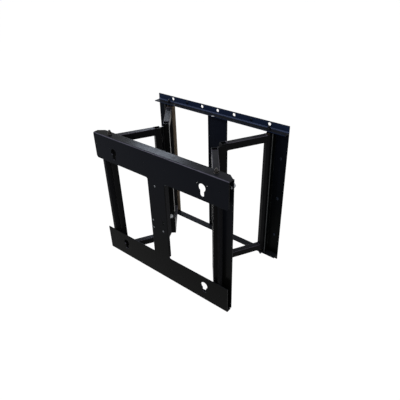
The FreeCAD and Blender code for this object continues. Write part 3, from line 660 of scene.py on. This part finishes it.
def facing_front(spot, turn=0.0):
    """A place on an upright face that looks towards the screen side."""
    return Matrix.Translation(spot) @ Matrix.Rotation(math.pi / 2, 4, "X") @ Matrix.Rotation(turn, 4, "Z")


# Sizes and finishes that a user would change
class MountSizes(bpy.types.PropertyGroup):
    nut_flats: bpy.props.FloatProperty(
        name="Nut across flats", description="Width of the pivot nuts over their flats",
        default=13 * MM, unit="LENGTH")
    nut_height: bpy.props.FloatProperty(
        name="Nut height", description="Height of a pivot nut with its flange",
        default=8.1 * MM, unit="LENGTH")
    nut_bore: bpy.props.FloatProperty(
        name="Nut bore", description="Radius of the bore of a pivot nut",
        default=4.15 * MM, unit="LENGTH")
    flange_radius: bpy.props.FloatProperty(
        name="Flange radius", description="Radius of the flange of a pivot nut",
        default=8 * MM, unit="LENGTH")
    thread_pitch: bpy.props.FloatProperty(
        name="Thread pitch", description="Distance between the crests of a stud's thread",
        default=1.25 * MM, unit="LENGTH")
    weld_radius: bpy.props.FloatProperty(
        name="Weld radius", description="Half the width of a weld bead",
        default=1.9 * MM, unit="LENGTH")
    weld_spacing: bpy.props.FloatProperty(
        name="Weld ripple", description="Distance between the ripples of a weld bead",
        default=1.7 * MM, unit="LENGTH")


class MountFinish(bpy.types.PropertyGroup):
    coat_sheen: bpy.props.FloatProperty(
        name="Coat sheen", description="How strongly the powder coat mirrors its surroundings",
        default=0.02, min=0, max=1, subtype="FACTOR")
    # Edge wear, which also paints a highlight along the edges
    edge_wear_and_highlight: bpy.props.FloatProperty(
        name="Edge wear", description="How far edges are rubbed pale",
        default=0.55, min=0, max=1, subtype="FACTOR")
    # Dust on upward faces, which also paints their sheen
    dust_and_sheen: bpy.props.FloatProperty(
        name="Dust", description="How much dust lies on upward faces",
        default=0.06, min=0, max=1, subtype="FACTOR")
    floor_colour: bpy.props.FloatVectorProperty(
        name="Floor colour", description="Colour of the studio floor as a light on the mount",
        default=(0.9, 0.9, 0.9), min=0, max=1, subtype="COLOR")
    lamp_power: bpy.props.FloatProperty(
        name="Lamp power", description="Power that the studio lamps take their shares of",
        default=60.0, unit="POWER")


class MountStep(bpy.types.Operator):
    """One step of the finish"""
    bl_idname = "mount.step"
    bl_label = "Step"
    bl_options = {"REGISTER", "UNDO"}

    def execute(self, context):
        self.make(context.scene.mount_sizes)
        return {"FINISHED"}


class CoatSteel(MountStep):
    """Powder coat on every sheet, angle and tube"""
    bl_idname = "mount.coat_steel"
    bl_label = "Powder coat"

    def make(self, sizes):
        gates = [label for label in CAD if label.endswith(("_tube", "_elbow_leaf"))]
        dress(gates, "satin_black_coat")
        dress(["front_plate", "front_upright_left", "front_upright_right"], "folded_plate_coat")
        dress(["wall_bottom_rail", "wall_centre_channel"], "wall_coat_painted_blue")
        dress(["wall_upright_left", "wall_upright_right"], "upright_coat_painted_highlight")
        dress(["wall_backing_strip_right"], "satin_black_coat")
        dress(["wall_top_rail"], "marked_rail_coat")
        dress(["wall_backing_strip_left"], "brown_primer")


class FinishHardware(MountStep):
    """Metal and nylon finishes on the small parts"""
    bl_idname = "mount.finish_hardware"
    bl_label = "Small part finishes"

    def make(self, sizes):
        dress(["front_pivot_studs", "elbow_pin_left", "elbow_pin_right"], "dark_zinc_plate")
        dress(["side_bolt"], "bright_zinc_plate")
        dress(["wall_pivot_studs"], "coated_zinc_plate")
        dress(["wall_pivot_spacers", "front_pivot_washers"], "oiled_bronze")
        dress(["latch_bracket", "latch_striker", "latch_pin"], "dark_zinc_plate")
        dress(["latch_pawl"], "black_tailed_zinc_plate")
        dress(["latch_spring"], "drawn_spring_wire")
        dress([label for label in CAD if label.endswith("_pivot_bushes")], "spark_grained_nylon")


class SetNuts(MountStep):
    """Chamfered flange nuts on the eight pivots, and the threads that show above them"""
    bl_idname = "mount.set_nuts"
    bl_label = "Pivot nuts"

    def make(self, sizes):
        for label, spots, high, low, finish in (
                ("wall", (pivot("rear_left_hinge"), pivot("rear_right_hinge")), SHELF_TOP, FLOOR_LOW,
                 "coated_zinc_plate"),
                ("front", (FRONT_LEFT, FRONT_RIGHT), LIP_TOP, SILL_LOW, "dark_zinc_plate")):
            places = []
            for spot in spots:
                places.append(standing(Vector((spot.x, spot.y, high))))
                places.append(standing(Vector((spot.x, spot.y, low)), up=False))
            repeated(f"{label}_flange_nuts", flange_nut(), places, finish, f"{label}_frame",
                     [f"{label}_pivot_nuts"])
            rises = [sizes.nut_height + (FIRST_CREST + step) * sizes.thread_pitch
                     for step in range(STUD_CRESTS)]
            crests = [place @ Matrix.Translation((0, 0, rise)) for place in places for rise in rises
                      if rise < STUD_STUB]
            repeated(f"{label}_stud_threads", thread_crest(STUD_THREAD_RADIUS, sizes.thread_pitch), crests,
                     finish, f"{label}_frame")


class SetScrews(MountStep):
    """Pan head screws with cross recesses on rails, uprights and centre web"""
    bl_idname = "mount.set_screws"
    bl_label = "Screws"

    def make(self, sizes):
        chance = random.Random(SCREW_SEED)
        wall = Vector((0, WALL_FACE, 0))
        web = Vector((FRONT_MIDDLE.x, FRONT_FACE, 0))
        for label, shape, base, spots, finish, body in (
                ("rail", WALL_SCREW, wall, RAIL_SCREWS, "blued_zinc_plate", "wall_frame"),
                ("upright", WALL_SCREW, wall, UPRIGHT_SCREWS, "blued_zinc_plate", "wall_frame"),
                ("web", WEB_SCREW, web, WEB_SCREWS, "dull_zinc_plate", "front_frame")):
            places = [facing_front(base + Vector((x, 0, z)), chance.uniform(0, math.pi)) for x, z in spots]
            stands_for = "web_screws" if label == "web" else f"wall_{label}_screws"
            repeated(f"{label}_pan_screws", domed_screw(f"{label}_screw", *shape), places, finish, body,
                     [stands_for])


class CutThreads(MountStep):
    """Thread on the end of the side bolt"""
    bl_idname = "mount.cut_threads"
    bl_label = "Side bolt thread"

    def make(self, sizes):
        low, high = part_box("side_bolt")
        middle = (low + high) / 2
        pitch = sizes.thread_pitch
        places = [facing_front(Vector((middle.x, high.y - BOLT_TIP - (number + 0.5) * pitch, middle.z)))
                  for number in range(int(BOLT_THREADED / pitch))]
        repeated("side_bolt_thread", thread_crest(BOLT_RADIUS, pitch), places, "dark_zinc_plate",
                 "front_frame")


class RollRoots(MountStep):
    """The rolled-in curve at the inner corner of each wall rail"""
    bl_idname = "mount.roll_roots"
    bl_label = "Rail roots"

    def make(self, sizes):
        low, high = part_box("wall_top_rail")
        for name, level, way in (("top_rail_root", SHELF_TOP, 1), ("bottom_rail_root", FLOOR_LOW, -1)):
            profile = [(WALL_FACE + ROOT_SUNK, level - way * ROOT_SUNK)]
            for step in range(ROOT_STEPS + 1):
                turn = math.radians(90 * step / ROOT_STEPS)
                profile.append((WALL_FACE - ROOT_RADIUS * (1 - math.sin(turn)),
                                level + way * ROOT_RADIUS * (1 - math.cos(turn))))
            shape = bmesh.new()
            left, right = [[shape.verts.new((x, y, z)) for y, z in profile]
                           for x in (low.x + ROOT_END_GAP, high.x - ROOT_END_GAP)]
            for step in range(len(profile)):
                after = (step + 1) % len(profile)
                shape.faces.new((left[step], left[after], right[after], right[step]))
            shape.faces.new(left)
            shape.faces.new(right)
            bmesh.ops.recalc_face_normals(shape, faces=shape.faces)
            piece = stood(name, shaded(meshed(name, shape)))
            # The curve's coat is a painted highlight, pale blue
            piece.data.materials.append(material_of("root_coat_painted_highlight"))
            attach(piece, "wall_frame")


class WeldGates(MountStep):
    """Weld beads where the level tubes of each gate meet its upright tubes"""
    bl_idname = "mount.weld_gates"
    bl_label = "Gate welds"

    def make(self, sizes):
        half = TUBE / 2
        across = half * GATE_WELD_DRAWN_IN
        for number, name in enumerate(GATES):
            place = gate_matrix(name)
            rise = Vector((0, 0, place.translation.z))
            runs = []
            for x in (half + GATE_WELD_SUNK, TUBE_END - TUBE - GATE_WELD_SUNK):
                for low, high in ((GATE_TOP - LEVEL_TUBE, GATE_TOP), (GATE_LOW, GATE_LOW + LEVEL_TUBE)):
                    low, high = low + GATE_WELD_SUNK, high - GATE_WELD_SUNK
                    ring = ((-across, low), (across, low), (across, high), (-across, high), (-across, low))
                    runs.append([place @ Vector((x, y, z)) - rise for y, z in ring])
            welded(f"{name}_gate_welds", runs, "satin_black_coat", GATE_BODY[name], number + GATE_WELD_SEED)


class WeldFrames(MountStep):
    """Stitch welds between sheets and angles of the two frames"""
    bl_idname = "mount.weld_frames"
    bl_label = "Frame welds"

    def make(self, sizes):
        back = FRONT_FACE + SHEET + FRAME_WELD_OFF
        seams = []
        for side in (-1, 1):
            for reach, into in zip(UPRIGHT_SIDES, (-1, 1)):
                x = FRONT_MIDDLE.x + side * reach * MM + into * side * FRAME_WELD_SUNK
                seams += [[Vector((x, back, z * MM)) for z in ends] for ends in UPRIGHT_STITCHES]
            for z in (LIP_TOP - SHEET - FRAME_WELD_SUNK, SILL_LOW + SHEET + FRAME_WELD_SUNK):
                seams.append([Vector((FRONT_MIDDLE.x + side * x * MM, FRONT_FACE + LIP_STITCH_DEPTH, z))
                              for x in LIP_STITCH])
        welded("front_frame_welds", seams, "satin_black_coat", "front_frame", FRONT_WELD_SEED)
        seams = []
        for side in (-1, 1):
            for z in (SHELF_TOP - SHEET - FRAME_WELD_SUNK, FLOOR_LOW + SHEET + FRAME_WELD_SUNK):
                rows = [[Vector((side * x * MM, WALL_STITCH_DEPTH, z)) for x in ends]
                        for ends in WALL_STITCHES]
                reach, ends = STRIP_STITCH
                rows.insert(1, [Vector((side * reach * MM, y * MM, z)) for y in ends])
                seams += rows
        welded("wall_frame_welds", seams, "wall_coat_painted_blue", "wall_frame", WALL_WELD_SEED)


def seen_white(tree):
    """One for rays from the camera, off a sheen or through glass, else nought."""
    ray = add(tree, "ShaderNodeLightPath").outputs
    either = sum_of(tree, "MAXIMUM", ray["Is Camera Ray"], ray["Is Glossy Ray"])
    return sum_of(tree, "MAXIMUM", either, ray["Is Transmission Ray"])


def lay_floor(colour):
    """A wide floor that looks like white paper and lights the mount less than it shows."""
    shape = bmesh.new()
    bmesh.ops.create_grid(shape, x_segments=1, y_segments=1, size=FLOOR_SIZE)
    floor = stood("studio_floor", meshed("studio_floor", shape))
    floor.location.z = FLOOR_HEIGHT
    material, tree = new_material("pale_paper_floor")
    matt = add(tree, "ShaderNodeBsdfDiffuse", inputs={"Color": (*colour, 1)})
    dim = add(tree, "ShaderNodeBsdfDiffuse", inputs={"Color": FLOOR_GREY})
    shine = add(tree, "ShaderNodeEmission", inputs={"Color": WHITE, "Strength": FLOOR_SHINE})
    seen = add(tree, "ShaderNodeAddShader", inputs={0: dim.outputs[0], 1: shine.outputs[0]})
    mixed = add(tree, "ShaderNodeMixShader", inputs={
        0: seen_white(tree), 1: matt.outputs[0], 2: seen.outputs[0]})
    add(tree, "ShaderNodeOutputMaterial", inputs={"Surface": mixed.outputs[0]})
    floor.data.materials.append(material)


def fill_air():
    """White air around the mount, a little dimmer as a light than it looks."""
    world = bpy.data.worlds.new("studio_air")
    world.use_nodes = True
    bpy.context.scene.world = world
    tree = world.node_tree
    tree.nodes.clear()
    level = ramp(tree, seen_white(tree), 0.0, 1.0, AIR_LIGHT, 1.0)
    air = add(tree, "ShaderNodeBackground", inputs={"Color": WHITE, "Strength": level})
    add(tree, "ShaderNodeOutputWorld", inputs={"Surface": air.outputs[0]})


def hang_lamps(power):
    """Square lamps that look at the mount's middle."""
    for name, (way, far, size, share, tint) in LAMPS.items():
        lamp = bpy.data.lights.new(name, "AREA")
        lamp.shape, lamp.size, lamp.energy, lamp.color = "SQUARE", size, power * share, tint
        holder = stood(name, lamp)
        way = Vector(way).normalized()
        holder.location = STUDIO_MIDDLE + way * far
        holder.rotation_euler = way.to_track_quat("Z", "Y").to_euler()


def set_camera():
    """The photograph's camera, placed from the front plate's face and lip."""
    ahead = Vector((-math.sin(CAMERA_YAW) * math.cos(CAMERA_PITCH),
                    math.cos(CAMERA_YAW) * math.cos(CAMERA_PITCH), -math.sin(CAMERA_PITCH)))
    flat = Vector((math.cos(CAMERA_YAW), math.sin(CAMERA_YAW), 0))
    over = flat.cross(ahead)
    right = math.cos(CAMERA_ROLL) * flat + math.sin(CAMERA_ROLL) * over
    up = math.cos(CAMERA_ROLL) * over - math.sin(CAMERA_ROLL) * flat
    data = bpy.data.cameras.new("photo_camera")
    data.sensor_width = SENSOR
    data.lens = FOCAL_PIXELS / PHOTO_PIXELS * SENSOR
    data.clip_start, data.clip_end = 0.01, 200
    camera = stood("photo_camera", data)
    spot = Vector((FRONT_MIDDLE.x + CAMERA_RIGHT, FRONT_FACE - CAMERA_NEAR, LIP_TOP + CAMERA_OVER))
    camera.matrix_world = Matrix.Translation(spot) @ Matrix((right, up, -ahead)).transposed().to_4x4()
    bpy.context.scene.camera = camera
    bpy.context.scene.view_settings.view_transform = "Standard"


class SetStudio(MountStep):
    """Pale floor, soft lamps and the photograph's camera"""
    bl_idname = "mount.set_studio"
    bl_label = "Studio"

    def make(self, sizes):
        looks = bpy.context.scene.mount_finish
        lay_floor(looks.floor_colour)
        fill_air()
        hang_lamps(looks.lamp_power)
        set_camera()


STEPS = (CoatSteel, FinishHardware, SetNuts, SetScrews, CutThreads, RollRoots, WeldGates, WeldFrames,
         SetStudio)


class MountPanel(bpy.types.Panel):
    """The steps of the finish in their order"""
    bl_idname = "VIEW3D_PT_wall_mount"
    bl_label = "Wall mount"
    bl_space_type = "VIEW_3D"
    bl_region_type = "UI"
    bl_category = "Wall mount"

    def draw(self, context):
        for group in (context.scene.mount_sizes, context.scene.mount_finish):
            for name in group.bl_rna.properties.keys():
                if name not in ("rna_type", "name"):
                    self.layout.prop(group, name)
        for step in STEPS:
            self.layout.operator(step.bl_idname)


CLASSES = (MountSizes, MountFinish, *STEPS, MountPanel)


def register():
    for item in CLASSES:
        bpy.utils.register_class(item)
    bpy.types.Scene.mount_sizes = bpy.props.PointerProperty(type=MountSizes)
    bpy.types.Scene.mount_finish = bpy.props.PointerProperty(type=MountFinish)


def unregister():
    del bpy.types.Scene.mount_finish
    del bpy.types.Scene.mount_sizes
    for item in reversed(CLASSES):
        bpy.utils.unregister_class(item)


def main():
    register()
    for step in STEPS:
        group, name = step.bl_idname.split(".")
        getattr(getattr(bpy.ops, group), name)()


if __name__ == "__main__":
    main()
